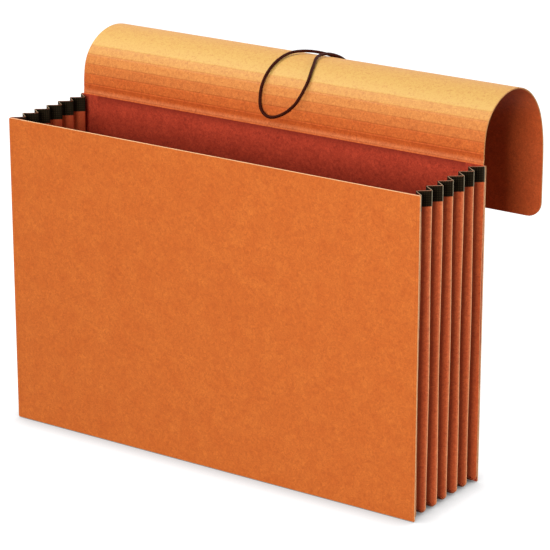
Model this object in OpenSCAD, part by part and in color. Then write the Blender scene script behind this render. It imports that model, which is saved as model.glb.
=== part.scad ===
// Expanding file wallet for legal-size papers. Two stiff board covers are joined by pleated
// gussets on the left, on the right and along the bottom. The back cover runs on into a scored
// flap that is curled over backwards, with a loop of elastic cord lying over its crest.
// Lengths are in millimetres and angles in degrees. X runs across the wallet, Y from the front
// to the back and Z up. The origin is the middle of the back cover's bottom edge.

/* [Covers] */
// Width of both covers
wallet_w = 381; // [300:1:420]
// Height of the covers and of the pocket's mouth
wallet_h = 254; // [200:1:320]
// Thickness of the board of the covers and of the flap
board_t = 1.2; // [0.8:0.1:2]

/* [Gusset] */
// Number of pleats in each gusset
pleats = 6; // [3:1:8]
// Width of one gusset leaf between its two folds
leaf_w = 10.7; // [8:0.1:16]
// Thickness of the gusset sheet
leaf_t = 0.7; // [0.4:0.1:1]
// Gap left between two leaves that are folded flat together
fold_gap = 0.3; // [0.2:0.05:0.6]
// How far each leaf stands open from folded flat
fold_angle = 39; // [10:1:75]
// Gap between a fold's axis and the edge of the leaf beside it
edge_relief = 0.15; // [0.1:0.05:0.4]
// Gap between the ends of a side leaf and a bottom leaf where they meet in a mitre
mitre_gap = 1.2; // [0.8:0.1:3]
// Width of the leaf that is glued flat to a cover
flange_w = 16; // [8:1:30]

/* [Tape] */
// Height of the reinforcing tape on the side gussets
tape_h = 12; // [6:1:25]
// Thickness of the tape
tape_t = 0.25; // [0.15:0.05:0.5]

/* [Flap] */
// How much narrower the flap is than the cover, at each end
flap_inset = 2; // [0:0.5:8]
// Length of the flap from the pocket's mouth to its free edge
flap_len = 215.9; // [205:0.1:250]
// Radius of the flap's free corners
flap_corner_r = 12.7; // [3:0.1:30]
// Height of the first score line above the pocket's mouth
score_start = 1; // [0.5:0.5:3]
// Distance between two score lines
score_pitch = 8; // [6:0.5:12]
// Number of score lines
score_count = 6; // [4:1:8]
// Depth of a score line in the flap's inner face
score_depth = 0.3; // [0.1:0.05:0.5]
// Length of each of the strips that make the curl
curl_strip = 15.5; // [13:0.5:17]
// Length of the strip between the curl and the flap's flat end
drop_strip = 32; // [24:1:40]

/* [Cord] */
// Diameter of the elastic cord
cord_d = 2.4; // [1.5:0.1:3]
// Clear gap between the cord and the flap under it
cord_lift = 1.2; // [1:0.1:3]
// Distance from the cord's eyelet to the flap's free edge
eyelet_edge = 15.6; // [10:0.1:30]
// Inner diameter of the eyelet
eyelet_bore = 5.6; // [5.6:0.1:7]
// Diameter of the eyelet's rolled rims
eyelet_rim_d = 9.6; // [8.6:0.1:13]
// Diameter of the knot behind the eyelet
knot_d = 8.4; // [7:0.1:10]
// Height of the knot
knot_h = 6.4; // [4:0.1:10]

/* [Hidden] */
$fn = 48;
// How far a cutting body runs past the board that it cuts
cut_over = 1;

// Thickness of the glue under the tape
tape_lay = 0.05;

// Folds. Each fold turns about an axis in the middle of the gap between the two faces that close
// on each other, so the axis swaps from one face of a leaf to the other along its width.
leaves = 2 * pleats;
leaf_shift = leaf_t + fold_gap;
leaf_step = leaf_w * sin(fold_angle) + leaf_shift * cos(fold_angle);
pleat_depth = leaf_w * cos(fold_angle) - leaf_shift * sin(fold_angle);
fold_inset = leaf_t + fold_gap + tape_t;
back_fold_y = -board_t / 2 - leaf_t - fold_gap / 2;
front_fold_y = back_fold_y - leaves * leaf_step;
front_flange_y = front_fold_y - fold_gap / 2 - leaf_t;
front_cover_y = front_flange_y - board_t / 2;
side_fold_x = wallet_w / 2 - fold_inset;

function fold_y(k) = back_fold_y - k * leaf_step;
function fold_depth(k) = k % 2 == 0 ? 0 : pleat_depth;
function is_odd(k) = k % 2 == 1;

// Flap creases, as lengths along the flap from the pocket's mouth, and how far each strip leans
// back from upright. The first crease lies midway between the first two score lines, and the curl
// starts midway between the third and the fourth.
hinge_rise = score_start + score_pitch / 2;
curl_score = 2.5;
rise_end = score_start + curl_score * score_pitch;
curl_strips = 8;
curl_end = rise_end + curl_strips * curl_strip;
// The last crease ends the strip below the curl, and on a short flap it comes earlier, so that the
// flat end still takes the eyelet's rim with some clear board beside it
eyelet_s = flap_len - eyelet_edge;
eyelet_clear = 2;
last_crease = min(curl_end + drop_strip, eyelet_s - eyelet_rim_d / 2 - eyelet_clear);
creases = concat(
    hinge_rise,
    [for (k = [0 : curl_strips]) rise_end + k * curl_strip],
    [last_crease, flap_len]
);
strip_lean = [5, 24, 53, 73, 92, 109, 129, 146, 162, 177, 180];
strips = len(strip_lean);
// The largest bend of each crease between the curled and the closed flap, which turns down over
// the front cover at the end of the curl
front_crease = curl_strips + 1;
crease_bend = [
    for (k = [0 : strips - 1])
        k == 0 || k == front_crease ? 90 : strip_lean[k] - strip_lean[k - 1]
];
crease_gap = 0.15;
flap_w = wallet_w - 2 * flap_inset;

function crease_relief(k) = k < strips ? board_t / 2 * tan(crease_bend[k] / 2) + crease_gap : 0;
function strip_length(k) = creases[k + 1] - creases[k];
function strip_dir(k) = [0, sin(strip_lean[k]), cos(strip_lean[k])];
function crease_point(k) =
    k == 0 ? [0, 0, wallet_h + hinge_rise]
           : crease_point(k - 1) + strip_length(k - 1) * strip_dir(k - 1);
function strip_at(s, k = 0) = k == strips - 1 || s < creases[k + 1] ? k : strip_at(s, k + 1);
// A lean that changes evenly from the middle of one strip to the middle of the next
function strip_middle(k) = (creases[k] + creases[k + 1]) / 2;
function smooth_lean(s) = lookup(s, [for (k = [0 : strips - 1]) [strip_middle(k), strip_lean[k]]]);
// The place of a point that is x across, s along and a height above the flap's inner face
function on_flap(x, s, height) =
    let (k = strip_at(s), lean = smooth_lean(s))
    crease_point(k) + (s - creases[k]) * strip_dir(k) + [x, 0, 0]
        + (board_t / 2 + height) * [0, -cos(lean), sin(lean)];

// Cord. The route has points of x across the flap and s along it for one strand, then the other.
// The loop's end is near the flap's base, and both strands run back to the eyelet.
eyelet_wall = 0.4;
eyelet_rim_t = 0.5;
eyelet_fit = 0.1;
strand_gap = 0.2;
strand_x = (cord_d + strand_gap) / 2;
cord_rest = cord_d / 2 + cord_lift;
knot_gap = 0.2;
knot_top = -board_t - eyelet_rim_t - knot_gap;
knot_draw = 1.6;
loop_points = [
    [1, 158], [8, 138], [14, 113], [11, 94], [1, 83], [-8, 71], [-11.5, 57], [-13, 40], [-13, 25],
    [-10.5, 13], [-2, 8.5], [11, 13.5], [22, 24], [26, 38], [22, 54], [16, 70], [16.5, 85],
    [20, 102], [17, 128], [5, 158]
];
// Where a strand leaves the flap's face, turns over and goes down through the eyelet
eyelet_rise = [[-24, 0], [-14, 1.6], [-8, 3], [-3, 2.6], [-0.4, 0.2]];
eyelet_drop = [1.6, 0, knot_top];
cord_route = concat(
    [for (i = [2 : -1 : 0]) [-strand_x, eyelet_s, eyelet_drop[i]]],
    [for (i = [4 : -1 : 0]) [-strand_x, eyelet_s + eyelet_rise[i][0], cord_rest + eyelet_rise[i][1]]],
    [for (p = loop_points) [p[0], p[1], cord_rest]],
    [for (p = eyelet_rise) [strand_x, eyelet_s + p[0], cord_rest + p[1]]],
    [for (h = eyelet_drop) [strand_x, eyelet_s, h]]
);
// A smooth curve through the route, with a ring about every three cord diameters
function route_at(i, t) =
    let (
        last = len(cord_route) - 1,
        a = cord_route[max(i - 1, 0)],
        b = cord_route[i],
        c = cord_route[i + 1],
        d = cord_route[min(i + 2, last)]
    )
    b
        + t / 2 * (c - a)
        + t * t / 2 * (2 * a - 5 * b + 4 * c - d)
        + t * t * t / 2 * (3 * b - a - 3 * c + d);
ring_step = 3 * cord_d;
cord_points = [
    for (i = [0 : len(cord_route) - 2])
        let (steps = max(1, round(norm(cord_route[i + 1] - cord_route[i]) / ring_step)))
        for (j = [0 : steps - 1])
            let (p = route_at(i, j / steps))
            on_flap(p[0], p[1], p[2]),
    let (p = cord_route[len(cord_route) - 1]) on_flap(p[0], p[1], p[2])
];
cord_sides = 8;

function length_to(pts, i) = i == 0 ? 0 : length_to(pts, i - 1) + norm(pts[i] - pts[i - 1]);
function unit(v) = v / norm(v);
// A ring of the tube, square to the route, turned so that its first corner stays almost along X
ring_level = [1, 0, 0.02];
function ring_side(t) = unit(cross(t, cross(ring_level, t)));
function ring(pts, i) =
    let (
        last = len(pts) - 1,
        t = unit(pts[min(i + 1, last)] - pts[max(i - 1, 0)]),
        a = ring_side(t),
        b = cross(t, a)
    )
    [for (j = [0 : cord_sides - 1])
        let (turn = 360 * (j + 0.5) / cord_sides)
        pts[i] + cord_d / 2 * (cos(turn) * a + sin(turn) * b)];

gusset_names = ["left_leaf_", "right_leaf_", "bottom_leaf_"];
function leaf_name(side, k) = str(gusset_names[side], k < 10 ? "0" : "", k);
function strip_name(k) = k == strips - 1 ? "flap_end" : str("flap_strip_", k + 1);

// A bar with a square section standing on its edge, for cutting one score line
module score_cut() {
    side = score_depth * sqrt(2);
    rotate([45, 0, 0])
        cube([flap_w + 2 * cut_over, side, side], center = true);
}

// Back cover with the low neck that the flap bends from
module back_cover() {
    neck_top = wallet_h + hinge_rise - crease_relief(0);
    neck_root = wallet_h - board_t;
    color("#c8622c") difference() {
        union() {
            translate([-wallet_w / 2, -board_t / 2, 0]) cube([wallet_w, board_t, wallet_h]);
            translate([-flap_w / 2, -board_t / 2, neck_root])
                cube([flap_w, board_t, neck_top - neck_root]);
        }
        translate([0, -board_t / 2, wallet_h + score_start]) score_cut();
    }
}

module front_cover() {
    color("#d67434")
        translate([-wallet_w / 2, front_cover_y - board_t / 2, 0]) cube([wallet_w, board_t, wallet_h]);
}

// Flanges of the gussets, glued to the inside of a cover. The side flange stops above the bottom
// flange on the same mitre as the leaves do.
module right_flange(y) {
    color("#b5502a") translate([wallet_w / 2, y + leaf_t, 0]) rotate([90, 0, 0])
        linear_extrude(leaf_t) polygon([
            [-fold_inset, fold_inset + mitre_gap / 2],
            [-fold_inset, wallet_h],
            [-fold_inset - flange_w, wallet_h],
            [-fold_inset - flange_w, fold_inset + mitre_gap / 2 + flange_w]
        ]);
}

module left_flange(y) {
    mirror([1, 0, 0]) right_flange(y);
}

module bottom_flange(y) {
    outer = side_fold_x - mitre_gap / 2;
    inner = outer - flange_w;
    color("#b5502a") translate([0, y + leaf_t, fold_inset]) rotate([90, 0, 0])
        linear_extrude(leaf_t) polygon([[-outer, 0], [outer, 0], [inner, flange_w], [-inner, flange_w]]);
}

// One leaf lies on local X from its first fold's axis, with its thickness on the far side of
// that axis from the leaf behind it. Odd leaves start at an outer fold and even ones at an inner.
module lay_leaf(k) {
    face = fold_gap / 2;
    translate([0, 0, is_odd(k) ? face : -face - leaf_t])
        linear_extrude(leaf_t) children();
}

module right_leaf(k) {
    near = edge_relief;
    far = leaf_w - edge_relief;
    start = fold_inset + mitre_gap / 2;
    low_near = start + (is_odd(k) ? near : leaf_w - near);
    low_far = start + (is_odd(k) ? far : leaf_w - far);
    color("#c25a2a")
        translate([side_fold_x - fold_depth(k - 1), fold_y(k - 1), 0])
        rotate([0, 0, is_odd(k) ? 180 + fold_angle : -fold_angle])
        rotate([90, 0, 0]) mirror([0, 0, 1]) lay_leaf(k)
            polygon([[near, low_near], [far, low_far], [far, wallet_h], [near, wallet_h]]);
}

module left_leaf(k) {
    mirror([1, 0, 0]) right_leaf(k);
}

module bottom_leaf(k) {
    near = edge_relief;
    far = leaf_w - edge_relief;
    end = side_fold_x - mitre_gap / 2;
    half_near = end - (is_odd(k) ? near : leaf_w - near);
    half_far = end - (is_odd(k) ? far : leaf_w - far);
    color("#b5502a")
        translate([0, fold_y(k - 1), fold_inset + fold_depth(k - 1)])
        rotate([is_odd(k) ? 90 + fold_angle : 270 - fold_angle, 0, 0])
        lay_leaf(k)
            polygon([[-half_near, near], [half_near, near], [half_far, far], [-half_far, far]]);
}

// Tape on the outside of a side gusset. It follows every leaf, goes round the outer folds and
// turns back in the bottom of the inner ones.
module right_tape() {
    near = fold_gap / 2 + leaf_t + tape_lay;
    far = near + tape_t;
    lap = 1;
    half_turn = 90 - fold_angle + lap;
    corner = 2 * far;
    color("#2b241c") translate([0, 0, wallet_h - tape_h]) linear_extrude(tape_h) {
        for (k = [1 : leaves])
            translate([side_fold_x - fold_depth(k - 1), fold_y(k - 1)])
                rotate(is_odd(k) ? 180 + fold_angle : -fold_angle)
                translate([0, is_odd(k) ? near : tape_lay - fold_gap / 2])
                square([leaf_w, tape_t]);
        for (k = [1 : leaves - 1])
            translate([side_fold_x - fold_depth(k), fold_y(k)])
                if (is_odd(k))
                    circle(fold_gap / 2 - tape_lay / 2);
                else
                    intersection() {
                        difference() {
                            circle(far);
                            circle(near);
                        }
                        polygon([
                            [0, 0],
                            corner * [cos(half_turn), -sin(half_turn)],
                            [2 * corner, 0],
                            corner * [cos(half_turn), sin(half_turn)]
                        ]);
                    }
    }
}

module left_tape() {
    mirror([1, 0, 0]) right_tape();
}

// One strip of the flap between two creases, lying in local X and Y with its inner face up
module flat_strip(k) {
    from = crease_relief(k);
    to = strip_length(k) - crease_relief(k + 1);
    score_lines = [
        for (i = [1 : score_count - 1])
            let (s = score_start + i * score_pitch - creases[k])
            if (s > from + score_depth && s < to - score_depth) s
    ];
    difference() {
        translate([-flap_w / 2, from, -board_t / 2]) cube([flap_w, to - from, board_t]);
        for (s = score_lines)
            translate([0, s, board_t / 2]) score_cut();
    }
}

module place_strip(k) {
    translate(crease_point(k)) rotate([90 - strip_lean[k], 0, 0]) children();
}

module flap_strip(k) {
    color("#dd8038") place_strip(k) flat_strip(k);
}

// The flat end of the flap, with round free corners and a hole for the eyelet
module flap_end() {
    k = strips - 1;
    from = crease_relief(k);
    len_end = strip_length(k);
    color("#dd8038") place_strip(k) difference() {
        translate([0, 0, -board_t / 2]) linear_extrude(board_t) difference() {
            union() {
                translate([-flap_w / 2, 0]) square([flap_w, len_end - flap_corner_r]);
                translate([-flap_w / 2 + flap_corner_r, 0])
                    square([flap_w - 2 * flap_corner_r, len_end]);
                for (side = [-1, 1])
                    translate([side * (flap_w / 2 - flap_corner_r), len_end - flap_corner_r])
                        circle(flap_corner_r);
            }
            // The cut also takes off what the round corners of a short end would reach back
            translate([-flap_w / 2 - cut_over, -2 * flap_corner_r])
                square([flap_w + 2 * cut_over, 2 * flap_corner_r + from]);
        }
        translate([0, eyelet_s - creases[k], 0])
            cylinder(
                d = eyelet_bore + 2 * eyelet_wall + 2 * eyelet_fit,
                h = board_t + 2 * cut_over,
                center = true
            );
    }
}

// Rolled metal eyelet: a barrel through the board with a rim on each face
module cord_eyelet() {
    k = strips - 1;
    half = board_t / 2;
    bore_r = eyelet_bore / 2;
    rim_r = eyelet_rim_d / 2;
    color("#8c7a4a") place_strip(k) translate([0, eyelet_s - creases[k], 0])
        rotate_extrude() polygon([
            [bore_r, -half - eyelet_rim_t],
            [rim_r, -half - eyelet_rim_t],
            [rim_r, -half],
            [bore_r + eyelet_wall, -half],
            [bore_r + eyelet_wall, half],
            [rim_r, half],
            [rim_r, half + eyelet_rim_t],
            [bore_r, half + eyelet_rim_t]
        ]);
}

// Knot that keeps the two ends of the cord behind the eyelet
module cord_knot() {
    k = strips - 1;
    half = knot_h / 2;
    full_r = knot_d / 2;
    end_r = full_r - knot_draw;
    color("#2a211b") place_strip(k)
        translate([0, eyelet_s - creases[k], board_t / 2 + knot_top - half])
        rotate_extrude() polygon([
            [0, -half],
            [end_r, -half],
            [full_r, -half + knot_draw],
            [full_r, half - knot_draw],
            [end_r, half],
            [0, half]
        ]);
}

cord_len = length_to(cord_points, len(cord_points) - 1);

module elastic_cord() {
    last = len(cord_points) - 1;
    rings = [for (i = [0 : last]) ring(cord_points, i)];
    walls = [
        for (i = [0 : last - 1])
            for (j = [0 : cord_sides - 1])
                let (a = i * cord_sides + j, b = i * cord_sides + (j + 1) % cord_sides)
                each [[a, b, b + cord_sides], [a, b + cord_sides, a + cord_sides]]
    ];
    start_cap = [for (j = [1 : cord_sides - 2]) [0, j + 1, j]];
    first = last * cord_sides;
    end_cap = [for (j = [1 : cord_sides - 2]) [first, first + j, first + j + 1]];
    color("#2a211b")
        polyhedron([for (r = rings) each r], concat(start_cap, walls, end_cap));
}

echo(depth = board_t - front_cover_y, cord_length = cord_len, cord_rings = len(cord_points));

back_cover();
front_cover();
left_flange(-board_t / 2 - leaf_t);  // back_left_flange
right_flange(-board_t / 2 - leaf_t);  // back_right_flange
bottom_flange(-board_t / 2 - leaf_t);  // back_bottom_flange
left_flange(front_flange_y);  // front_left_flange
right_flange(front_flange_y);  // front_right_flange
bottom_flange(front_flange_y);  // front_bottom_flange
for (k = [1 : leaves]) {
    left_leaf(k);
    right_leaf(k);
    bottom_leaf(k);
}
left_tape();
right_tape();
for (k = [0 : strips - 2])
    flap_strip(k);
flap_end();
cord_eyelet();
cord_knot();
elastic_cord();
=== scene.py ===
import math

import bmesh
import bpy
import numpy as np
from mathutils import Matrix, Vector


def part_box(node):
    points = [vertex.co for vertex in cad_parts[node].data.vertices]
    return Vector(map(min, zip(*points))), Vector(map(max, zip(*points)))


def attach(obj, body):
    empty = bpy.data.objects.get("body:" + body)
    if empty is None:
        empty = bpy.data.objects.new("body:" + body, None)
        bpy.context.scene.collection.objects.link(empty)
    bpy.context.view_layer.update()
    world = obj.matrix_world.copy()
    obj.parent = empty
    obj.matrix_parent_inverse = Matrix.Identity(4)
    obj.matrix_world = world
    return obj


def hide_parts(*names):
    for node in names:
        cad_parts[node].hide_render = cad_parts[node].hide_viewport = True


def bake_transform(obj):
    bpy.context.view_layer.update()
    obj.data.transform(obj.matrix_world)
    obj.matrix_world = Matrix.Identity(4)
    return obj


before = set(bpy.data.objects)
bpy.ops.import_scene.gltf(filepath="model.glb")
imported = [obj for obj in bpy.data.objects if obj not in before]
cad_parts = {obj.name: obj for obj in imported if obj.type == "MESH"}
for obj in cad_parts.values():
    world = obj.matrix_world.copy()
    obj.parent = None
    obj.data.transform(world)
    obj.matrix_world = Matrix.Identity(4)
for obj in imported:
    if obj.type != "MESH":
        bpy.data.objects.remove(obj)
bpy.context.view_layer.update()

# Camera. It stands to the right of the front cover and a little above it, far off with a long lens,
# so that the upright edges of the wallet stay almost parallel in the picture.
MM = 0.001
VIEW_AZIMUTH = 34.3
VIEW_ELEVATION = 18.55
VIEW_DISTANCE = 2030 * MM
VIEW_TARGET = Vector((32.9, -47.0, 151.8)) * MM
LENS = 172
SENSOR = 36


def stand_facing(thing, target, azimuth, elevation, distance):
    """Puts a camera or lamp that far from its target and turns it there. The azimuth goes from the front
    towards the right, in degrees as the elevation is."""
    azimuth, elevation = math.radians(azimuth), math.radians(elevation)
    toward = Vector((
        math.sin(azimuth) * math.cos(elevation),
        -math.cos(azimuth) * math.cos(elevation),
        math.sin(elevation),
    ))
    thing.location = target + toward * distance
    thing.rotation_mode = "QUATERNION"
    thing.rotation_quaternion = (-toward).to_track_quat("-Z", "Y")
    bpy.context.scene.collection.objects.link(thing)


camera_data = bpy.data.cameras.new("camera")
camera_data.sensor_width = SENSOR
camera_data.lens = LENS
camera = bpy.data.objects.new("camera", camera_data)
stand_facing(camera, VIEW_TARGET, VIEW_AZIMUTH, VIEW_ELEVATION, VIEW_DISTANCE)
bpy.context.scene.camera = camera

# Line of the flap. The flap is one board with the back cover, scored across near its base, curled over
# backwards and hanging down behind the wallet. The cord and the flap both follow this line, which is
# given by how far the board leans back from upright at some lengths from the pocket's mouth.
MOUTH_Z = 254
BOARD_T = 1.2
HALF_BOARD = BOARD_T / 2
FLAP_LENGTH = 215.9
FLAP_LEANS = [
    (0, 1), (1, 8), (5.4, 8), (6.2, -10), (7.2, -10), (8, 3), (16.5, 5), (17.5, 9), (24.5, 12),
    (25.5, 21), (32.5, 29), (33.5, 36), (40.5, 45), (41.5, 49), (56, 69), (80, 97), (108, 130),
    (136, 163), (160, 178), (175, 180), (FLAP_LENGTH, 180),
]
LINE_STEP = 0.1
line_s = np.arange(0, FLAP_LENGTH + LINE_STEP / 2, LINE_STEP)
line_lean = np.radians(np.interp(line_s, *zip(*FLAP_LEANS)))
middle_lean = (line_lean[1:] + line_lean[:-1]) / 2
line_y = np.concatenate([[0], np.cumsum(np.sin(middle_lean)) * LINE_STEP])
line_z = MOUTH_Z + np.concatenate([[0], np.cumsum(np.cos(middle_lean)) * LINE_STEP])


def on_flap(x, s, height):
    """Points in mm that are x across and s along the flap, at a height above its inner face."""
    x, s, height = np.broadcast_arrays(*(np.asarray(v, float) for v in (x, s, height)))
    lean = np.interp(s, line_s, line_lean)
    off = HALF_BOARD + height
    y = np.interp(s, line_s, line_y) - off * np.cos(lean)
    z = np.interp(s, line_s, line_z) + off * np.sin(lean)
    return np.stack([x, y, z], -1)


# The board is cut midway between its creases, so that each part bends across one of them.
HINGE_CREASE = 5
CURL_START = 21
CURL_STRIP = 15.5
CURL_CREASES = 9
LAST_CREASE = 177
curl_creases = CURL_START + CURL_STRIP * np.arange(CURL_CREASES)
FLAP_CREASES = np.array([HINGE_CREASE, *curl_creases, LAST_CREASE])
FLAP_CUTS = [0, *(FLAP_CREASES[:-1] + FLAP_CREASES[1:]) / 2, FLAP_LENGTH]
FLAP_BODIES = ["back_cover", *(f"flap_strip_{k}" for k in range(1, len(FLAP_CREASES))), "flap_end"]


def bend_with_flap(piece):
    """Bakes the piece's place into its points, as it lies in this pose."""
    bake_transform(piece)


# Elastic cord. A limp round rubber cord in a braided dark brown cover, doubled into a loop that lies over
# the crest of the flap. Both its ends go through an eyelet near the flap's free edge, and behind it they
# are tied in one tight overhand knot.
CORD_D = 2.4
CORD_SIDES = 12
CORD_STEP = 1.0
ROUTE_STEPS = 12
EYELET_EDGE = 15.6
EYELET_S = FLAP_LENGTH - EYELET_EDGE
STRAND_X = 1.3
# Height of the cord's middle above the flap, at lengths along the flap
CORD_LIFTS = [(0, 2.7), (60, 1.7), (80, 2.3), (100, 1.6), (FLAP_LENGTH, 1.5)]
KNOT_TOP = -1.9
LOOP_POINTS = [
    (1, 158), (8, 138), (14, 113), (11, 94), (1, 83), (-8, 71), (-11.5, 57), (-13, 40), (-13, 25),
    (-10.5, 13), (-2, 8.5), (11, 13.5), (22, 24), (26, 38), (22, 54), (16, 70), (16.5, 85),
    (20, 102), (17, 128), (5, 158),
]
EYELET_RISE = [(-24, 0), (-14, 1.6), (-8, 3), (-3, 2.6), (-0.4, 0.2)]
EYELET_DROP = [1.6, 0, KNOT_TOP]
cord_rest = CORD_LIFTS[-1][1]
strand_in = [(EYELET_S + ds, cord_rest + rise) for ds, rise in EYELET_RISE]
strand_in += [(EYELET_S, height) for height in EYELET_DROP]
cord_route = np.array(
    [(-STRAND_X, s, height) for s, height in reversed(strand_in)]
    + [(x, s, np.interp(s, *zip(*CORD_LIFTS))) for x, s in LOOP_POINTS]
    + [(STRAND_X, s, height) for s, height in strand_in]
)


def smooth_route(points, parts):
    """A smooth curve through the points, with that many steps from each to the next."""
    before, after = points[[0, *range(len(points) - 1)]], points[[*range(1, len(points)), -1]]
    tangents = (after - before) / 2
    t = np.arange(parts)[:, None] / parts
    stretches = [
        (2 * t**3 - 3 * t**2 + 1) * points[i] + (t**3 - 2 * t**2 + t) * tangents[i]
        + (3 * t**2 - 2 * t**3) * points[i + 1] + (t**3 - t**2) * tangents[i + 1]
        for i in range(len(points) - 1)
    ]
    return np.concatenate([*stretches, points[-1:]])


def lengths_along(points):
    """How far along the curve each of its points is."""
    return np.concatenate([[0], np.cumsum(np.linalg.norm(np.diff(points, axis=0), axis=1))])


def evenly_spaced(points, step):
    """The curve again, with its points about that far apart along it."""
    along = lengths_along(points)
    at = np.linspace(0, along[-1], round(along[-1] / step) + 1)
    return np.stack([np.interp(at, along, column) for column in points.T], -1)


# A slanted direction, which no cord starts along
SLANTED = (0.3, 0.5, 0.8)


def tube(path, along, radius, sides):
    """Points in mm, faces and flat places of a closed tube that is turned as little as possible."""
    tangents = np.gradient(path, axis=0)
    tangents /= np.linalg.norm(tangents, axis=1)[:, None]
    turns = np.arange(sides) * 2 * math.pi / sides
    side = np.cross(tangents[0], SLANTED)
    rings = []
    for point, tangent in zip(path, tangents):
        side = side - tangent * (side @ tangent)
        side = side / np.linalg.norm(side)
        up = np.cross(tangent, side)
        rings.append(point + radius * (np.cos(turns)[:, None] * side + np.sin(turns)[:, None] * up))
    at = np.arange(len(path) * sides).reshape(len(path), sides)
    ahead = np.roll(at, -1, axis=1)
    walls = np.stack([at[:-1], ahead[:-1], ahead[1:], at[1:]], -1).reshape(-1, 4)
    round_it = np.abs(np.arange(sides) / sides * 2 - 1) * math.pi * radius
    places = np.stack(np.broadcast_arrays(round_it[None], along[:, None]), -1)
    return np.concatenate(rings), [*walls.tolist(), at[0].tolist(), at[-1].tolist()], places.reshape(-1, 2)


def new_piece(name, points, faces, materials, kinds=None, places=None, smooth_angle=50):
    """An object from points in mm and faces. kinds gives each face its material, and places each point its
    place on the flat piece in mm, which becomes the UV map in metres."""
    mesh = bpy.data.meshes.new(name)
    mesh.from_pydata((np.asarray(points) * MM).tolist(), [], [list(map(int, face)) for face in faces])
    for material in materials:
        mesh.materials.append(material)
    if kinds is not None:
        mesh.polygons.foreach_set("material_index", np.asarray(kinds, np.int32))
    if places is not None:
        corners = np.zeros(len(mesh.loops), np.int32)
        mesh.loops.foreach_get("vertex_index", corners)
        layer = mesh.uv_layers.new(name="flat")
        layer.uv.foreach_set("vector", (np.asarray(places)[corners] * MM).astype(np.float32).ravel())
    shape = bmesh.new()
    shape.from_mesh(mesh)
    bmesh.ops.recalc_face_normals(shape, faces=shape.faces)
    shape.to_mesh(mesh)
    shape.free()
    mesh.polygons.foreach_set("use_smooth", np.ones(len(mesh.polygons), bool))
    mesh.set_sharp_from_angle(angle=math.radians(smooth_angle))
    piece = bpy.data.objects.new(name, mesh)
    bpy.context.scene.collection.objects.link(piece)
    return piece


def linear(hex_colour):
    """An sRGB hex colour as linear red, green, blue and alpha."""
    parts = [int(hex_colour[i:i + 2], 16) / 255 for i in (1, 3, 5)]
    return tuple(c / 12.92 if c <= 0.04045 else ((c + 0.055) / 1.055) ** 2.4 for c in parts) + (1.0,)


def add_node(tree, kind, settings, inputs):
    """A node with its settings, whose inputs take a value or another node's output."""
    node = tree.nodes.new(kind)
    for name, value in settings.items():
        setattr(node, name, value)
    for socket, value in inputs.items():
        if isinstance(value, bpy.types.NodeSocket):
            tree.links.new(value, node.inputs[socket])
        else:
            node.inputs[socket].default_value = value
    return node


def new_material(name):
    """A material with nothing in its node tree but the output node."""
    material = bpy.data.materials.new(name)
    material.use_nodes = True
    material.node_tree.nodes.clear()
    output = material.node_tree.nodes.new("ShaderNodeOutputMaterial")
    return material, material.node_tree, output


# Sockets of a colour mix node. A noise's scale is how many patterns a metre takes, and a wave's scale is
# that number over a full turn.
COLOUR_MIX = {"data_type": "RGBA"}
MIX_A, MIX_B, MIX_RESULT = 6, 7, 2
PER_METRE = 1 / MM
WAVE_TURN = 2 * math.pi

# Braided elastic cover: dark brown polyester yarn laid in two crossing helices over rubber. The yarn is
# drawn 0.8 mm wide, coarser than the real braid, so that it shows. It is dull, with a soft brown edge.
YARN = 0.8
YARN_SLANT = 0.6
braid, tree, output = new_material("braided_elastic_cover")
coords = add_node(tree, "ShaderNodeTexCoord", {}, {})
crossing = []
for slant in (YARN_SLANT, -YARN_SLANT):
    turned = add_node(tree, "ShaderNodeMapping", {}, {
        "Vector": coords.outputs["UV"], "Rotation": (0, 0, slant)})
    crossing.append(add_node(tree, "ShaderNodeTexWave", {"bands_direction": "Y"}, {
        "Vector": turned.outputs[0], "Scale": PER_METRE / YARN / WAVE_TURN}))
yarns = add_node(tree, "ShaderNodeMath", {"operation": "MAXIMUM"}, {
    0: crossing[0].outputs["Fac"], 1: crossing[1].outputs["Fac"]})
yarn_colour = add_node(tree, "ShaderNodeMix", COLOUR_MIX, {
    0: yarns.outputs[0], MIX_A: linear("#1A0502"), MIX_B: linear("#3E1409")})
yarn_bump = add_node(tree, "ShaderNodeBump", {}, {
    "Height": yarns.outputs[0], "Strength": 0.5, "Distance": 0.15 * MM})
shader = add_node(tree, "ShaderNodeBsdfPrincipled", {}, {
    "Base Color": yarn_colour.outputs[MIX_RESULT], "Normal": yarn_bump.outputs[0], "Roughness": 0.6,
    "Specular IOR Level": 0.05})
tree.links.new(shader.outputs[0], output.inputs["Surface"])


def on_flap_end(points):
    """Puts points in place that are given across the flap, along it from the eyelet and above the middle of
    the board."""
    return on_flap(points[..., 0], EYELET_S + points[..., 1], points[..., 2] - HALF_BOARD)


KNOT_H = 6.4
KNOT_R = 3.0
KNOT_STEPS = 140
TAIL_SPLAY = 1.5
TAIL_FLARE = 1.4
TAIL_DIP = 1
TAIL_LENGTH = 6.5
TAIL_STEPS = 8
knot_middle = KNOT_TOP + HALF_BOARD - KNOT_H / 2
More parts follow.
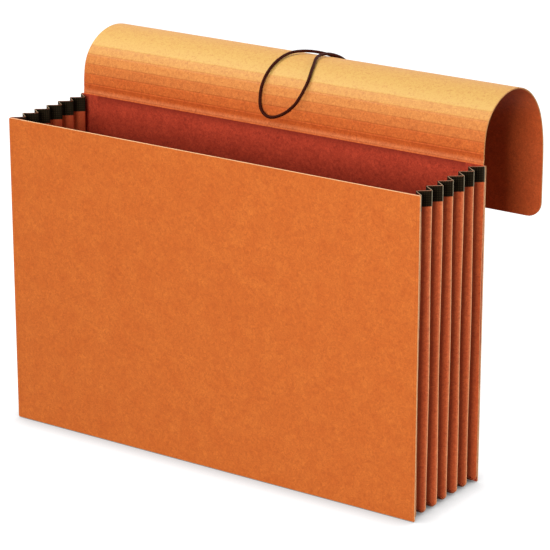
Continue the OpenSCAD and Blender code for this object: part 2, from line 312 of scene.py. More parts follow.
# The cord goes twice round in an overhand knot, and meanwhile three times out and in and up and down
turn = np.linspace(0, 2 * math.pi, KNOT_STEPS)
reach = KNOT_R * (2 + np.cos(3 * turn)) / 3
knot_paths = [np.stack([
    reach * np.cos(2 * turn),
    reach * np.sin(2 * turn),
    knot_middle + (KNOT_H - CORD_D) / 2 * np.sin(3 * turn),
], -1)]
for side in (-1, 1):
    # The two cut ends hang out of the knot, down along the flap
    knot_paths.append(smooth_route(np.array([
        (side, 0, knot_middle),
        (side * TAIL_SPLAY, TAIL_LENGTH / 2, knot_middle - TAIL_DIP),
        (side * TAIL_SPLAY * TAIL_FLARE, TAIL_LENGTH, knot_middle),
    ]), TAIL_STEPS))
knot_points, knot_faces, knot_places = [], [], []
for path in knot_paths:
    path = evenly_spaced(on_flap_end(path), CORD_STEP / 2)
    points, faces, places = tube(path, lengths_along(path), CORD_D / 2, CORD_SIDES)
    start = sum(map(len, knot_points))
    knot_points.append(points)
    knot_faces += [[index + start for index in face] for face in faces]
    knot_places.append(places)
knot = new_piece(
    "cord_end_knot", np.concatenate(knot_points), knot_faces, [braid], places=np.concatenate(knot_places))
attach(knot, "flap_end")
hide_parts("cord_knot")

fine_route = smooth_route(cord_route, ROUTE_STEPS)
fine_points = on_flap(*fine_route.T)
cord_points = evenly_spaced(fine_points, CORD_STEP)
cord_along = lengths_along(cord_points)
fine_along = lengths_along(fine_points)
cord_s = np.interp(np.linspace(0, 1, len(cord_points)), fine_along / fine_along[-1], fine_route[:, 1])
# The cord is cut at every other crease, and each stretch bends across the crease between two cuts
cord_part = np.searchsorted(FLAP_CREASES[1::2], cord_s, side="right")
stretch_ends = [0, *(np.flatnonzero(np.diff(cord_part)) + 1).tolist(), len(cord_s) - 1]
for number, (first, last) in enumerate(zip(stretch_ends[:-1], stretch_ends[1:]), start=1):
    path, along = cord_points[first:last + 1], cord_along[first:last + 1]
    points, faces, places = tube(path, along, CORD_D / 2, CORD_SIDES)
    stretch = new_piece(f"cord_stretch_{number:02d}", points, faces, [braid], places=places)
    bend_with_flap(stretch)
    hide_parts("elastic_cord")

# Eyelet. A pressed brass ring that is rolled over on both faces of the board, near the middle of the
# flap's free edge. The cord's two ends go through it.
EYELET_BORE = 5.6
EYELET_RIM_D = 9.6
EYELET_WALL = 0.4
EYELET_RIM_T = 0.5
EYELET_FIT = 0.1
RING_STEPS = 48
ROLL_STEPS = 9
bore_r, rim_r = EYELET_BORE / 2, EYELET_RIM_D / 2
roll = (rim_r - bore_r) / 2
ring_profile = []
for face in (1, -1):
    # From the bore over the rolled rim on one face, along the barrel and back over the other rim
    ring_profile += [
        (bore_r + roll - roll * math.cos(a), face * (HALF_BOARD + EYELET_RIM_T * math.sin(a)))
        for a in np.linspace(0, math.pi, ROLL_STEPS)[::face]]
    if face == 1:
        ring_profile += [(bore_r + EYELET_WALL, HALF_BOARD), (bore_r + EYELET_WALL, -HALF_BOARD)]
ring_profile = np.array(ring_profile)
turn = np.arange(RING_STEPS)[:, None] * 2 * math.pi / RING_STEPS
ring_points = np.stack(np.broadcast_arrays(
    ring_profile[:, 0] * np.cos(turn), ring_profile[:, 0] * np.sin(turn), ring_profile[:, 1]), -1)
at = np.arange(RING_STEPS * len(ring_profile)).reshape(RING_STEPS, -1)
round_at = np.roll(at, -1, 0)
ring_faces = np.stack([at, round_at, np.roll(round_at, -1, 1), np.roll(at, -1, 1)], -1).reshape(-1, 4)

# Pressed brass, dulled by handling: warm metal, with duller spots about 1.5 mm wide
TARNISH = 1.5
brass, tree, output = new_material("aged_brass")
coords = add_node(tree, "ShaderNodeTexCoord", {}, {})
tarnish = add_node(tree, "ShaderNodeTexNoise", {}, {
    "Vector": coords.outputs["Object"], "Scale": PER_METRE / TARNISH, "Detail": 3.0})
brass_colour = add_node(tree, "ShaderNodeMix", COLOUR_MIX, {
    0: tarnish.outputs["Fac"], MIX_A: linear("#8A6C36"), MIX_B: linear("#C8A766")})
brass_rough = add_node(tree, "ShaderNodeMapRange", {}, {
    "Value": tarnish.outputs["Fac"], "To Min": 0.45, "To Max": 0.25})
shader = add_node(tree, "ShaderNodeBsdfPrincipled", {}, {
    "Base Color": brass_colour.outputs[MIX_RESULT], "Metallic": 1.0, "Roughness": brass_rough.outputs[0]})
tree.links.new(shader.outputs[0], output.inputs["Surface"])

eyelet = new_piece("cord_eyelet_ring", on_flap_end(ring_points).reshape(-1, 3), ring_faces, [brass])
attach(eyelet, "flap_end")
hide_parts("cord_eyelet")

# Covers. Two sheets of stiff red-brown pressboard, cut square, with pale cut edges. The back one goes on
# upwards into the flap. Their inner faces are redder than the outer ones.
WALLET_W = 381
WALLET_H = MOUTH_Z
COVER_CORNER = 1.2
EDGE_ROUND = 0.3
EDGE_STATIONS = [0, EDGE_ROUND, 1, 2.4, 3, 3.6, 6, 10]
WIDE_STATION = 30
# The gusset's fold shows through the cover as a faint line along both its sides
FOLD_LINE = 3
FOLD_LINE_HALF = 0.6
FOLD_LINE_DARK = 0.35
# Painted shade darkens the back cover, on both faces, under the mouth, where the flap's fold stands out
# from the inner face and shades it
MOUTH_LINE = 5
MOUTH_LINE_DARK = 0.8
FRONT_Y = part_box("front_cover")[0].y / MM + HALF_BOARD
# Kinds of face, which are places in a piece's list of materials
FACE, CUT, INSIDE, OUTSIDE = 0, 1, 2, 2


def sheet_piece(name, upper, lower, materials, upper_kind=FACE, lower_kind=FACE, edge_kinds=(CUT,) * 4,
                marks=None, places=None):
    """A closed sheet between two grids of points in mm, rows by columns. Both its faces and the walls at
    its first and last row and column have a kind of material, and marks are values for the materials."""
    rows, columns = upper.shape[:2]
    top = np.arange(rows * columns).reshape(rows, columns)
    low = top + rows * columns
    groups = []
    for grid, kind in ((top, upper_kind), (low, lower_kind)):
        cells = np.stack([grid[:-1, :-1], grid[:-1, 1:], grid[1:, 1:], grid[1:, :-1]], -1).reshape(-1, 4)
        groups.append((cells, np.broadcast_to(kind, (rows - 1, columns - 1)).ravel()))
    sides = [(top[0], low[0]), (top[-1], low[-1]), (top[:, 0], low[:, 0]), (top[:, -1], low[:, -1])]
    for (line, under), kind in zip(sides, edge_kinds):
        wall = np.stack([line[:-1], line[1:], under[1:], under[:-1]], -1)
        groups.append((wall, np.full(len(wall), kind)))
    faces, kinds = (np.concatenate(column) for column in zip(*groups))
    points = np.concatenate([upper.reshape(-1, 3), lower.reshape(-1, 3)])
    if places is not None:
        places = np.tile(places.reshape(-1, 2), (2, 1))
    piece = new_piece(name, points, faces, materials, kinds, places, smooth_angle=35)
    for mark, values in (marks or {}).items():
        attribute = piece.data.attributes.new(mark, "FLOAT", "POINT")
        values = np.broadcast_to(values, (rows, columns)).ravel()
        attribute.data.foreach_set("value", np.tile(values, 2).astype(np.float32))
    return piece


def stations(length, close, wide):
    """Places from 0 to length, close together at both ends and about that wide apart between them."""
    count = round((length - 2 * close[-1]) / wide) + 1
    middle = np.linspace(close[-1], length - close[-1], count)
    return np.concatenate([close[:-1], middle, [length - c for c in reversed(close[:-1])]])


def rounded_half_width(width, corner, from_end):
    """Half the width of a board with round corners, at distances from the end that they are at."""
    inside = np.clip(corner - from_end, 0, corner)
    return width / 2 - corner + np.sqrt(corner**2 - inside**2)


def board_grid(width, along, half_width, cut_first, cut_last):
    """A board's grid: places across and along, half its thickness, which is less at the rounded rims,
    which cells are on a rim, and the distance to the nearer side."""
    across = stations(width, EDGE_STATIONS, WIDE_STATION) - width / 2
    x = across * half_width[:, None] / (width / 2)
    s = np.broadcast_to(along[:, None], x.shape)
    to_side = half_width[:, None] - np.abs(x)
    rim = to_side
    if cut_first:
        rim = np.minimum(rim, s - along[0])
    if cut_last:
        rim = np.minimum(rim, along[-1] - s)
    half = HALF_BOARD - np.clip(EDGE_ROUND - rim, 0, EDGE_ROUND)
    outer = np.minimum(np.minimum(rim[:-1, :-1], rim[:-1, 1:]), np.minimum(rim[1:, 1:], rim[1:, :-1]))
    return x, s, half, outer < EDGE_ROUND / 2, to_side


# Dark flecks are this many fibres apart
FLECK_SPACING = 3.5


def fibre_board(name, light, main, dark, rub_and_highlight_tint, roughness, gloss, blotch=14.0, fibre=2.2, highlight_tint=None):
    """Red rope paper or board: long manila-type fibres, dyed through and pressed. That gives soft cloudy
    blotches, a fine fibre mottle and small dark flecks, with a slight sheen from the calender rolls.
    Where the mark crease is 1 it is dark: a faint line along the covers' sides, and painted shade in the
    flap's scores and the dip at its base, in the pleats and under the mouth. Where fold is 1 it is pale:
    rubbed wear on the gusset folds, and a painted highlight at the flap's base. Where flex is 1 it is
    painted lighter, a painted highlight up the curl. Blotch and fibre are widths in mm, the fibre's coarser
    than real so that it shows."""
    material, tree, output = new_material(name)
    coords = add_node(tree, "ShaderNodeTexCoord", {}, {})
    place = coords.outputs["Object"]
    clouds = add_node(tree, "ShaderNodeTexNoise", {}, {
        "Vector": place, "Scale": PER_METRE / blotch, "Detail": 4.0, "Roughness": 0.6})
    cloudy = add_node(tree, "ShaderNodeMapRange", {}, {
        "Value": clouds.outputs["Fac"], "From Min": 0.2, "From Max": 0.8})
    colour = add_node(tree, "ShaderNodeMix", COLOUR_MIX, {
        0: cloudy.outputs[0], MIX_A: linear(main), MIX_B: linear(light)})
    fibres = add_node(tree, "ShaderNodeTexNoise", {}, {
        "Vector": place, "Scale": PER_METRE / fibre, "Detail": 3.0, "Roughness": 0.65, "Distortion": 1.2})
    between = add_node(tree, "ShaderNodeMapRange", {}, {
        "Value": fibres.outputs["Fac"], "From Min": 0.3, "From Max": 0.7, "To Min": 0.8, "To Max": 0.0})
    flecks = add_node(tree, "ShaderNodeTexVoronoi", {}, {
        "Vector": place, "Scale": PER_METRE / (fibre * FLECK_SPACING)})
    fleck = add_node(tree, "ShaderNodeMapRange", {}, {
        "Value": flecks.outputs["Distance"], "From Min": 0.06, "From Max": 0.2,
        "To Min": 0.35, "To Max": 0.0})
    for darker in (between.outputs[0], fleck.outputs[0]):
        colour = add_node(tree, "ShaderNodeMix", COLOUR_MIX, {
            0: darker, MIX_A: colour.outputs[MIX_RESULT], MIX_B: linear(dark)})
    uneven = add_node(tree, "ShaderNodeMath", {"operation": "MULTIPLY_ADD"}, {
        0: fibres.outputs["Fac"], 1: 1.4, 2: 0.25})
    # Each mark mixes in a tint: painted shade and a faint line for crease, rubbed wear and a painted
    # highlight for fold, and a painted highlight for flex
    for mark, tint, is_uneven in (("painted_highlight", highlight_tint, True), ("crease", dark, False), ("fold", rub_and_highlight_tint, True)):
        if tint is None:
            continue
        share = add_node(tree, "ShaderNodeAttribute", {"attribute_name": mark}, {}).outputs["Fac"]
        if is_uneven:
            share = add_node(tree, "ShaderNodeMath", {"operation": "MULTIPLY", "use_clamp": True}, {
                0: share, 1: uneven.outputs[0]}).outputs[0]
        colour = add_node(tree, "ShaderNodeMix", COLOUR_MIX, {
            0: share, MIX_A: colour.outputs[MIX_RESULT], MIX_B: linear(tint)})
    bump = add_node(tree, "ShaderNodeBump", {}, {
        "Height": fibres.outputs["Fac"], "Strength": 0.35, "Distance": 0.12 * MM})
    rough = add_node(tree, "ShaderNodeMapRange", {}, {
        "Value": fibres.outputs["Fac"], "To Min": roughness - 0.08, "To Max": roughness + 0.08})
    shader = add_node(tree, "ShaderNodeBsdfPrincipled", {}, {
        "Base Color": colour.outputs[MIX_RESULT], "Normal": bump.outputs[0], "Roughness": rough.outputs[0],
        "Specular IOR Level": gloss})
    tree.links.new(shader.outputs[0], output.inputs["Surface"])
    return material


# The outer faces are warm orange-brown with a slight sheen, the back's darker and redder as painted shade
# for the inside of the curl, where it shows, the inner faces are dull and red, and the cut edges pale and
# fibrous
CUT_BLOTCH = 3.0
CUT_FIBRE = 0.8
cover_board = fibre_board("red_rope_pressboard", "#DE7B33", "#D06928", "#B4521C", "#F2B483", 0.55, 0.2)
back_board = fibre_board("red_rope_pressboard_back", "#CC5F2C", "#BE5024", "#96401A", "#F2B483", 0.55, 0.2)
inner_board = fibre_board("red_rope_inner_face", "#C6492F", "#B03B24", "#7A2416", "#C8603C", 0.6, 0.15)
cut_board = fibre_board(
    "cut_pressboard_edge", "#F6D0A6", "#E8B485", "#C88450", "#FBE3C6", 0.8, 0.1, CUT_BLOTCH, CUT_FIBRE)

cover_along = stations(WALLET_H, EDGE_STATIONS, WIDE_STATION)
for node, y, front_kind, back_kind, outer_board, has_flap in (
    ("back_cover", 0, INSIDE, FACE, back_board, True),
    ("front_cover", FRONT_Y, FACE, INSIDE, cover_board, False),
):
    to_end = cover_along if has_flap else np.minimum(cover_along, WALLET_H - cover_along)
    half_width = rounded_half_width(WALLET_W, COVER_CORNER, to_end)
    x, s, half, on_rim, to_side = board_grid(WALLET_W, cover_along, half_width, True, not has_flap)
    crease = FOLD_LINE_DARK * np.clip(1 - np.abs(to_side - FOLD_LINE) / FOLD_LINE_HALF, 0, 1)
    # On the back cover, painted shade darkens the board under the mouth
    if has_flap:
        crease = np.maximum(crease, MOUTH_LINE_DARK * np.clip(1 - (WALLET_H - s) / MOUTH_LINE, 0, 1))
    board = sheet_piece(
        f"{node}_board", np.stack([x, y - half, s], -1), np.stack([x, y + half, s], -1),
        [outer_board, cut_board, inner_board],
        np.where(on_rim, CUT, front_kind), np.where(on_rim, CUT, back_kind),
        (CUT, FACE if has_flap else CUT, CUT, CUT), {"crease": crease})
    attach(board, node)
    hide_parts(node)

# Flanges. The outer leaf of each gusset, glued flat to the inside of a cover and pressed thin towards its
# free edge, so that it hardly shows there.
LEAF_T = 0.7
FOLD_GAP = 0.3
TAPE_T = 0.25
FOLD_INSET = LEAF_T + FOLD_GAP + TAPE_T
SIDE_FOLD_X = WALLET_W / 2 - FOLD_INSET
FLANGE_W = 16
FLANGE_EDGE_T = 0.1
MITRE_GAP = 1.2
FLANGE_STEPS = 5
FLANGE_ROWS = 10
share = np.linspace(0, 1, FLANGE_STEPS)
flange_t = FLANGE_EDGE_T + (LEAF_T - FLANGE_EDGE_T) * (1 - share)
low = FOLD_INSET + MITRE_GAP / 2 + FLANGE_W * share
half_length = SIDE_FOLD_X - MITRE_GAP / 2 - FLANGE_W * share
up = np.linspace(0, 1, FLANGE_ROWS)[:, None]
for cover, face_y, inward in (("back", -HALF_BOARD, -1), ("front", FRONT_Y + HALF_BOARD, 1)):
    for side in ("left", "right", "bottom"):
        if side == "bottom":
            x = half_length * (2 * up - 1)
            z = np.broadcast_to(FOLD_INSET + FLANGE_W * share, x.shape)
        else:
            z = low + (WALLET_H - low) * up
            x = np.broadcast_to(SIDE_FOLD_X - FLANGE_W * share, z.shape) * (1 if side == "right" else -1)
        flange = sheet_piece(
            f"{cover}_{side}_glued_leaf",
            np.stack(np.broadcast_arrays(x, face_y + inward * flange_t, z), -1),
            np.stack(np.broadcast_arrays(x, face_y, z), -1),
            [inner_board], edge_kinds=(FACE,) * 4)
        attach(flange, f"{cover}_cover")
        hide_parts(f"{cover}_{side}_flange")

# Gussets. Each side and the bottom is a sheet of thinner red rope paper, folded into six pleats. A leaf
# runs from a fold that points outward to one that points into the pocket, and the two leaves that meet in
# a fold share its round bend, so that it stays closed as the wallet opens and shuts.
LEAVES = 12
LEAF_W = 10.7
FOLD_ANGLE = math.radians(39)
LEAF_SHIFT = LEAF_T + FOLD_GAP
LEAF_STEP = LEAF_W * math.sin(FOLD_ANGLE) + LEAF_SHIFT * math.cos(FOLD_ANGLE)
PLEAT_DEPTH = LEAF_W * math.cos(FOLD_ANGLE) - LEAF_SHIFT * math.sin(FOLD_ANGLE)
BACK_FOLD_Y = -HALF_BOARD - LEAF_T - FOLD_GAP / 2
BEND_R = LEAF_SHIFT / 2
BEND_TURN = math.radians(112)
END_TURN = math.radians(150)
BEND_STEPS = 8
FLAT_STEPS = 7
# Every other leaf is a little thinner, so that the bends it shares don't lie in the same place
THINNER = 0.02
BOW = 0.25
# Painted shade: each leaf is painted darker towards its inner fold and round that fold's bend, where the
# pleat is shaded. An outer fold is rubbed pale as far round its bend as these angles say, more on the
# middle folds than on those at the covers, and the painted shade reaches as far round an inner bend; both
# are full in the middle.
VALLEY_SHADE = 0.8
PAPER_RUB_AND_SHADE = math.radians(46)
PAPER_END_RUB = math.radians(38)
RUB_AND_SHADE_FULLNESS = 1.3
WAVER = 0.3
WAVER_LENGTH = 31
WAVER_SHIFT = 1.7
CORNER_R = 4.0
CORNER_CUT = CORNER_R * (1 - math.sqrt(0.5))
CORNER_ROWS = np.array([0, 0.4, 0.9, 1.5, 2.2, 3.0, 4.0])
BOTTOM_START, BOTTOM_ROWS = 20, 14
SIDE_START, SIDE_ROWS = 12, 24
GUSSETS = {
    "left": {"out": (-1, 0, 0), "run": (0, 0, 1), "fold": (-SIDE_FOLD_X, 0, 0)},
    "right": {"out": (1, 0, 0), "run": (0, 0, 1), "fold": (SIDE_FOLD_X, 0, 0)},
    "bottom": {"out": (0, 0, -1), "run": (1, 0, 0), "fold": (0, 0, FOLD_INSET)},
}
FRONTWARD = np.array((0, -1, 0))


def leaf_section(k, half_t, rub_and_shade, end_rub):
    """Section of leaf k, from its outer bend to its inner one: the middle of the sheet as places along and
    across the leaf from its outer fold's axis, half its thickness along its normal, its length so far and
    its marks. Outer folds are rubbed pale as far round a bend as rub says; inner ones are painted dark as
    far round, and the leaf is painted darker towards its inner fold, as painted shade of the pleat."""
    is_odd = k % 2 == 1
    is_end = k in (1, LEAVES)
    outer = np.linspace(math.pi / 2 + (END_TURN if is_end else BEND_TURN), math.pi / 2, BEND_STEPS)
    inner = np.linspace(-math.pi / 2, -math.pi / 2 + BEND_TURN, BEND_STEPS)
    flat = np.linspace(0, LEAF_W, FLAT_STEPS)[1:-1]
    bow = BOW * np.sin(math.pi * flat / LEAF_W) * (1 if is_odd else -1)
    middle = np.concatenate([
        np.stack([BEND_R * np.cos(outer), BEND_R * np.sin(outer)], -1),
        np.stack([flat, BEND_R + bow], -1),
        np.stack([LEAF_W + BEND_R * np.cos(inner), LEAF_SHIFT + BEND_R * np.sin(inner)], -1),
    ])
    normal = np.concatenate([
        np.stack([np.cos(outer), np.sin(outer)], -1),
        np.tile([0.0, 1.0], (len(flat), 1)),
        -np.stack([np.cos(inner), np.sin(inner)], -1),
    ])
    outer_ridge, inner_ridge = math.pi - FOLD_ANGLE, -FOLD_ANGLE
    outer_rub = np.clip(RUB_AND_SHADE_FULLNESS - np.abs(outer - outer_ridge) / (end_rub if is_end else rub_and_shade), 0, 1)
    inner_shade = np.clip(RUB_AND_SHADE_FULLNESS - np.abs(inner - inner_ridge) / rub_and_shade, 0, 1)
    marks = {
        "fold": np.concatenate([outer_rub, np.zeros(len(flat) + BEND_STEPS)]),
        "crease": np.concatenate([
            np.zeros(BEND_STEPS), VALLEY_SHADE * flat / LEAF_W, np.maximum(inner_shade, VALLEY_SHADE)]),
    }
    return middle, normal * (half_t - (0 if is_odd else THINNER)), lengths_along(middle), marks


def place_leaf(side, k, section, run):
    """Points in mm of a leaf's section at each place along its folds. The run has a row for each place."""
    gusset = {key: np.array(value, float) for key, value in GUSSETS[side].items()}
    turn = 1 if k % 2 else -1
    along_leaf = -math.cos(FOLD_ANGLE) * gusset["out"] + turn * math.sin(FOLD_ANGLE) * FRONTWARD
    across_leaf = math.sin(FOLD_ANGLE) * gusset["out"] + turn * math.cos(FOLD_ANGLE) * FRONTWARD
    outer_fold, inner_fold = (k - 1, k) if k % 2 else (k, k - 1)
    axis = gusset["fold"] + (0, BACK_FOLD_Y - outer_fold * LEAF_STEP, 0)
    points = axis + section[:, :1] * along_leaf + section[:, 1:] * across_leaf
    points = points + run[..., None] * gusset["run"]
    # No fold is quite straight, and near the pocket's corner the outer ones bend round to the next gusset
    outward = 1 - np.clip(section[:, 0] / LEAF_W, 0, 1)
    waver = [WAVER * np.sin(run / WAVER_LENGTH + WAVER_SHIFT * fold) for fold in (outer_fold, inner_fold)]
    to_corner = SIDE_FOLD_X - np.abs(run) if side == "bottom" else run - FOLD_INSET
    inside = np.clip(CORNER_R - to_corner, 0, CORNER_R)
    corner = CORNER_R - np.sqrt(CORNER_R**2 - inside**2)
    draw = outward * (corner - waver[0]) - (1 - outward) * waver[1]
    return points - draw[..., None] * gusset["out"]


# The gusset paper is redder and duller than the board, and its cut edges are greyish and pale
gusset_paper = fibre_board("red_rope_gusset_paper", "#D96A36", "#C8582B", "#96361A", "#FFB884", 0.6, 0.15)
cut_paper = fibre_board(
    "cut_paper_edge", "#BFAE94", "#A99578", "#7E6A52", "#C8B89E", 0.85, 0.1, CUT_BLOTCH, CUT_FIBRE)
for side in GUSSETS:
    for k in range(1, LEAVES + 1):
        middle, normal, _, marks = leaf_section(k, LEAF_T / 2, PAPER_RUB_AND_SHADE, PAPER_END_RUB)
        low = FOLD_INSET + CORNER_CUT + np.clip(middle[:, 0] / LEAF_W, 0, 1) * (PLEAT_DEPTH - CORNER_CUT)
        if side == "bottom":
            end = WALLET_W / 2 - low
            even_steps = np.linspace(BOTTOM_START, WALLET_W - BOTTOM_START, BOTTOM_ROWS)
            steps = np.concatenate([CORNER_ROWS, even_steps, WALLET_W - CORNER_ROWS[::-1]])
            run = end * (2 * steps[:, None] / WALLET_W - 1)
            edge_kinds = (FACE,) * 4
        else:
            steps = np.concatenate([CORNER_ROWS, np.linspace(SIDE_START, WALLET_H, SIDE_ROWS)])
            run = low + (WALLET_H - low) * steps[:, None] / WALLET_H
            edge_kinds = (FACE, CUT, FACE, FACE)
        # The leaf's marks rub its outer fold pale and paint shade towards and round its inner fold
        leaf = sheet_piece(
            f"{side}_gusset_leaf_{k:02d}",
            place_leaf(side, k, middle + normal, run), place_leaf(side, k, middle - normal, run),
            [gusset_paper, cut_paper], edge_kinds=edge_kinds, marks=marks)
        node = f"{side}_leaf_{k:02d}"
        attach(leaf, node)
        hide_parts(node)

# Tape. A dark olive-brown woven tape stiffens the top of each side gusset. It covers both faces of the
# paper, was pleated with it, and has rubbed grey along the folds.
TAPE_H = 12
TAPE_SKIN = 0.12
TAPE_DROP = 0.15
TAPE_RUB = math.radians(32)
TAPE_END_RUB = math.radians(40)
TAPE_ROWS = 6
# Plain woven cotton, dyed dark: dull, with threads drawn 0.9 mm wide, coarser than real, so that they show
THREAD = 0.9
tape_cloth, tree, output = new_material("woven_cotton_tape")
coords = add_node(tree, "ShaderNodeTexCoord", {}, {})
threads = [
    add_node(tree, "ShaderNodeTexWave", {"bands_direction": direction}, {
        "Vector": coords.outputs["UV"], "Scale": PER_METRE / THREAD / WAVE_TURN,
        "Distortion": 0.6, "Detail": 1.0})
    for direction in ("X", "Y")
]
weave = add_node(tree, "ShaderNodeMath", {"operation": "MULTIPLY"}, {
    0: threads[0].outputs["Fac"], 1: threads[1].outputs["Fac"]})
cloth = add_node(tree, "ShaderNodeMix", COLOUR_MIX, {
    0: weave.outputs[0], MIX_A: linear("#17110A"), MIX_B: linear("#31281A")})
fold = add_node(tree, "ShaderNodeAttribute", {"attribute_name": "fold"}, {})
rubbed_cloth = add_node(tree, "ShaderNodeMix", COLOUR_MIX, {
    0: fold.outputs["Fac"], MIX_A: cloth.outputs[MIX_RESULT], MIX_B: linear("#A89A80")})
bump = add_node(tree, "ShaderNodeBump", {}, {
    "Height": weave.outputs[0], "Strength": 0.4, "Distance": 0.1 * MM})
shader = add_node(tree, "ShaderNodeBsdfPrincipled", {}, {
    "Base Color": rubbed_cloth.outputs[MIX_RESULT], "Normal": bump.outputs[0], "Roughness": 0.9,
    "Specular IOR Level": 0.03})
tree.links.new(shader.outputs[0], output.inputs["Surface"])

for side in ("left", "right"):
    for k in range(1, LEAVES + 1):
        middle, normal, along, marks = leaf_section(k, LEAF_T / 2 + TAPE_SKIN, TAPE_RUB, TAPE_END_RUB)
        rows = np.linspace(WALLET_H - TAPE_H, WALLET_H - TAPE_DROP, TAPE_ROWS)
        run = np.broadcast_to(rows[:, None], (TAPE_ROWS, len(middle)))
        tape = sheet_piece(
            f"{side}_tape_{k:02d}",
            place_leaf(side, k, middle + normal, run), place_leaf(side, k, middle - normal, run),
            [tape_cloth], edge_kinds=(FACE,) * 4, marks=marks,
            places=np.stack(np.broadcast_arrays(along, run), -1))
        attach(tape, f"{side}_leaf_{k:02d}")
        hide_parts(f"{side}_tape")

# Flap. The same pressboard as the back cover and one piece with it, scored across six times on its inner
# face so that it can turn over a full pocket. Its free corners are rounded, and the eyelet sits in a hole.
FLAP_INSET = 2
FLAP_W = WALLET_W - 2 * FLAP_INSET
FLAP_CORNER = 12.7
CORNER_STEPS = 10
SCORE_START = 1
SCORE_PITCH = 8
SCORE_COUNT = 6
SCORES = [SCORE_START + SCORE_PITCH * k for k in range(SCORE_COUNT)]
SCORE_DEPTH = 0.2
SCORE_HALF = 0.8
SCORE_ROWS = (-1, -0.6, -0.3, 0, 0.3, 0.6, 1)
# How dark each score line is painted, as painted shade in its groove, and how much painted highlight the
# strip above it takes, from the base up
SCORE_DARK = [0.3, 0.35, 0.3, 0.25, 0.2, 0.15]
STRIP_HIGHLIGHT = [0, 0.06, 0.2, 0.38, 0.64, 1]
# The painted highlight fades beyond 50 mm along the flap, down to a tenth over the next 100 mm
HIGHLIGHT_END, HIGHLIGHT_FADE, HIGHLIGHT_LEFT = 50, 100, 0.1
# The board's own fold at the base: a paler strip, which is a painted highlight, and above it a dark one,
# which is painted shade in the dip
BASE_HIGHLIGHT, BASE_HIGHLIGHT_HALF, BASE_HIGHLIGHT_PALE = 2.2, 2.4, 0.2
BASE_DIP, BASE_DIP_HALF, BASE_DIP_DARK = 6.7, 2.0, 0.95
ROW = 2.5
SEAM = 0.15
# The inner face is painted lighter, towards straw, up the curl as a painted highlight, and the cut edges
# are a dull tan
flap_board = fibre_board(
    "scored_pressboard", "#E47431", "#D46026", "#A03E16", "#F2B483", 0.5, 0.18, highlight_tint="#D8AC5E")
flap_edge = fibre_board(
    "cut_scored_board_edge", "#E2A870", "#D2925A", "#A86A3A", "#F2B483", 0.8, 0.1, CUT_BLOTCH, CUT_FIBRE)
flap_names = ["flap_base", *(f"flap_curl_{k}" for k in range(1, len(FLAP_CREASES) - 1)), "flap_tail"]


def cut_eyelet_hole(piece):
    """A round hole through the board where the eyelet is. The board hangs upright there."""
    hole = bpy.data.meshes.new("eyelet_hole")
    shape = bmesh.new()
    radius = (EYELET_BORE / 2 + EYELET_WALL + EYELET_FIT) * MM
    bmesh.ops.create_cone(
        shape, cap_ends=True, segments=RING_STEPS, radius1=radius, radius2=radius, depth=4 * BOARD_T * MM)
    through_board = Vector((0, 0, 1)).rotation_difference(Vector((0, 1, 0))).to_matrix()
    bmesh.ops.rotate(shape, verts=shape.verts, cent=(0, 0, 0), matrix=through_board)
    bmesh.ops.translate(shape, verts=shape.verts, vec=Vector(on_flap(0, EYELET_S, -HALF_BOARD) * MM))
    shape.to_mesh(hole)
    shape.free()
    cutter = bpy.data.objects.new("eyelet_hole", hole)
    bpy.context.scene.collection.objects.link(cutter)
    cut = piece.modifiers.new("eyelet_hole", "BOOLEAN")
    cut.object = cutter
    graph = bpy.context.evaluated_depsgraph_get()
    piece.data = bpy.data.meshes.new_from_object(piece.evaluated_get(graph))
    piece.modifiers.clear()
    bpy.data.objects.remove(cutter)


for part, name in enumerate(flap_names):
    first, last = FLAP_CUTS[part], FLAP_CUTS[part + 1]
    is_tail = last == FLAP_LENGTH
    even_rows = np.linspace(first, last, round((last - first) / ROW) + 1)
    rows = [first, first + SEAM, last - SEAM, last, *even_rows]
    rows += [s + d * SCORE_HALF for s in SCORES for d in SCORE_ROWS]
    if is_tail:
        rows += [last - FLAP_CORNER * (1 - math.sin(a)) for a in np.linspace(0, math.pi / 2, CORNER_STEPS)]
        rows.append(last - EDGE_ROUND)
    along = np.unique(np.round([s for s in rows if first <= s <= last], 3))
    half_width = rounded_half_width(FLAP_W, FLAP_CORNER, FLAP_LENGTH - along)
    x, s, half, on_rim, _ = board_grid(FLAP_W, along, half_width, False, is_tail)
    groove = np.array([np.clip(1 - np.abs(s - score) / SCORE_HALF, 0, 1) for score in SCORES])
    groove = groove**2 * (3 - 2 * groove)
    dip = np.clip(1 - np.abs(s - BASE_DIP) / BASE_DIP_HALF, 0, 1)
    step = np.clip((s - np.array(SCORES)[:, None, None]) / SCORE_HALF, -1, 1) / 2 + 0.5
    painted_highlight = np.tensordot(np.diff(STRIP_HIGHLIGHT, prepend=0), step, 1)
    painted_highlight = painted_highlight * (1 - (1 - HIGHLIGHT_LEFT) * np.clip((s - HIGHLIGHT_END) / HIGHLIGHT_FADE, 0, 1))
    # The marks paint shade into the score grooves and the dip at the base, and a highlight on the strip at
    # the base and up the curl
    board = sheet_piece(
        name,
        on_flap(x, s, half - HALF_BOARD - SCORE_DEPTH * groove.sum(0)),
        on_flap(x, s, -half - HALF_BOARD),
        [flap_board, flap_edge, back_board],
        np.where(on_rim, CUT, FACE), np.where(on_rim, CUT, OUTSIDE),
        (FACE, CUT if is_tail else FACE, CUT, CUT),
        marks={
            "crease": np.maximum(np.tensordot(SCORE_DARK, groove, 1), BASE_DIP_DARK * dip),
            "fold": BASE_HIGHLIGHT_PALE * np.clip(1 - np.abs(s - BASE_HIGHLIGHT) / BASE_HIGHLIGHT_HALF, 0, 1),
            "painted_highlight": painted_highlight,
        })
    if is_tail:
        cut_eyelet_hole(board)
    bend_with_flap(board)
    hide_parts(*dict.fromkeys([FLAP_BODIES[max(part, 1)], FLAP_BODIES[part + 1]]))

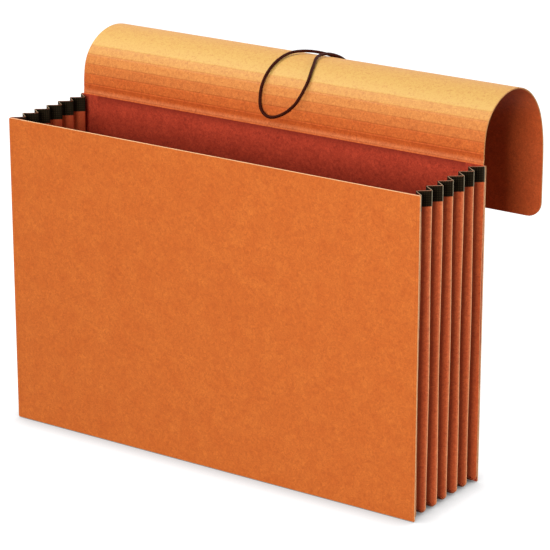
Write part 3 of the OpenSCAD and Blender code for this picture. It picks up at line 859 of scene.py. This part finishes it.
# Floor. A wide sheet of white paper, which shows white to the camera and keeps the soft shadow that the
# lamps cast from the wallet, with a painted contact shadow where its edges stand on it.
FLOOR_SIZE = 12
FLOOR_DROP = 0.4
CONTACT_SHADOW = 26
half_floor = FLOOR_SIZE / 2 * PER_METRE


def seen_rays(tree):
    """1 for what the camera sees straight, in a reflection or through glass, and 0 for what lights the
    wallet."""
    path = add_node(tree, "ShaderNodeLightPath", {}, {}).outputs
    seen = add_node(tree, "ShaderNodeMath", {"operation": "ADD"}, {
        0: path["Is Camera Ray"], 1: path["Is Glossy Ray"]})
    return add_node(tree, "ShaderNodeMath", {"operation": "ADD", "use_clamp": True}, {
        0: seen.outputs[0], 1: path["Is Transmission Ray"]}).outputs[0]


# White paper that glows evenly to the eye, so that it has no far edge; its glow greys softly under the
# wallet by ambient occlusion, a painted contact shadow
white_paper, tree, output = new_material("white_paper_backdrop")
paper = add_node(tree, "ShaderNodeBsdfDiffuse", {}, {"Color": linear("#7C7C7C")})
contact = add_node(tree, "ShaderNodeAmbientOcclusion", {}, {
    "Color": linear("#FCFCFC"), "Distance": CONTACT_SHADOW * MM})
glow = add_node(tree, "ShaderNodeEmission", {}, {
    "Color": contact.outputs["Color"], "Strength": seen_rays(tree)})
both = add_node(tree, "ShaderNodeAddShader", {}, {0: paper.outputs[0], 1: glow.outputs[0]})
tree.links.new(both.outputs[0], output.inputs["Surface"])
floor_corners = [
    (x * half_floor, y * half_floor, -FLOOR_DROP) for x, y in ((-1, -1), (1, -1), (1, 1), (-1, 1))]
floor = new_piece("floor", floor_corners, [(0, 1, 2, 3)], [white_paper])

# Studio. A large softbox near the camera lights the covers and reaches under the flap, another one above
# and to the left brightens the curl, a weak one on the right reaches into the pleats, one lights the back,
# and a weak white dome fills in the shadows.
DOME = 0.08
world = bpy.data.worlds.new("studio")
bpy.context.scene.world = world
world.use_nodes = True
tree = world.node_tree
tree.nodes.clear()
level = add_node(tree, "ShaderNodeMapRange", {}, {"Value": seen_rays(tree), "To Min": DOME, "To Max": 1.0})
dome = add_node(tree, "ShaderNodeBackground", {}, {
    "Color": linear("#FFFFFF"), "Strength": level.outputs[0]})
world_output = tree.nodes.new("ShaderNodeOutputWorld")
tree.links.new(dome.outputs[0], world_output.inputs["Surface"])

# Each softbox has its azimuth from the front towards the right and its elevation in degrees, its distance
# and size in metres and its power in watts
LAMPS = [
    ("key_softbox", 16, 17, 2.2, 0.7, 42.5),
    ("overhead_softbox", -70, 60, 1.8, 1.0, 22),
    ("side_softbox", 90, 20, 2.2, 0.7, 8),
    ("rear_softbox", 160, 30, 2.4, 1.2, 38),
]
LAMP_TARGET = Vector((0, 0, 0.15))
for name, azimuth, elevation, distance, size, power in LAMPS:
    lamp_data = bpy.data.lights.new(name, "AREA")
    lamp_data.shape = "SQUARE"
    lamp_data.size = size
    lamp_data.energy = power
    lamp = bpy.data.objects.new(name, lamp_data)
    stand_facing(lamp, LAMP_TARGET, azimuth, elevation, distance)

bpy.context.scene.view_settings.view_transform = "Standard"
